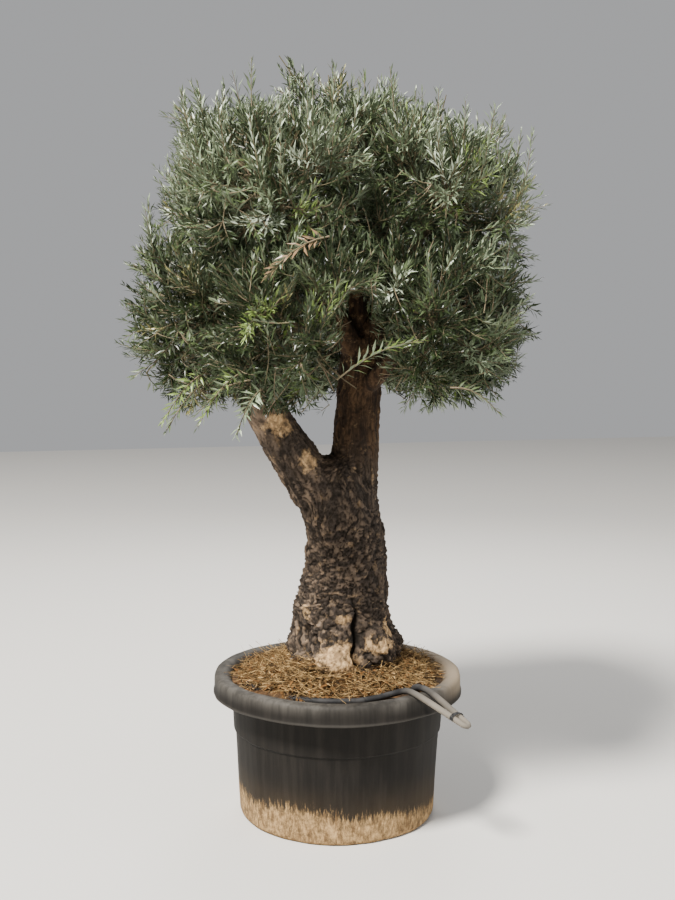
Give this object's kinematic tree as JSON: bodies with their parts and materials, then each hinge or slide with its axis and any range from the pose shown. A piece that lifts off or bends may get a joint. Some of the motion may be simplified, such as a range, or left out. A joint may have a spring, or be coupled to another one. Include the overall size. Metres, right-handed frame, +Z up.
{
  "type": "potted olive tree",
  "caption": "Old, hard-pruned olive tree with a thick knobbly trunk, forked boughs and a dense domed crown, in a round black nursery pot.",
  "frame": {"origin": "middle of the pot's flat underside, which stands on the ground", "axes": "+Z up; +X to the viewer's right and +Y away from the viewer, in the picture's view"},
  "size_m": [1.2663, 1.2007, 2.284],
  "materials": {
    "pot": "matte",
    "pipe": "matte",
    "soil": "matte",
    "bark": "matte",
    "young_bark": "matte",
    "leaf": "matte"
  },
  "bodies": {
    "root": {"pot": "pot", "soil": "soil", "drip_pipe": "pipe", "trunk": "bark", "bough_left": "bark", "bough_centre": "bark", "limb_front_left": "young_bark", "limb_back_left": "young_bark", "limb_right": "young_bark", "limb_front_right": "young_bark", "limb_back_right": "young_bark", "limb_top_left_front": "young_bark", "limb_top_left_back": "young_bark", "limb_top_right_front": "young_bark", "limb_top_right_back": "young_bark", "limb_top_middle": "young_bark", "foliage_left": "leaf", "foliage_front_left": "leaf", "foliage_back_left": "leaf", "foliage_right": "leaf", "foliage_front_right": "leaf", "foliage_back_right": "leaf", "foliage_top_left_front": "leaf", "foliage_top_left_back": "leaf", "foliage_top_right_front": "leaf", "foliage_top_right_back": "leaf", "foliage_top_middle": "leaf"}
  },
  "joints": []
}
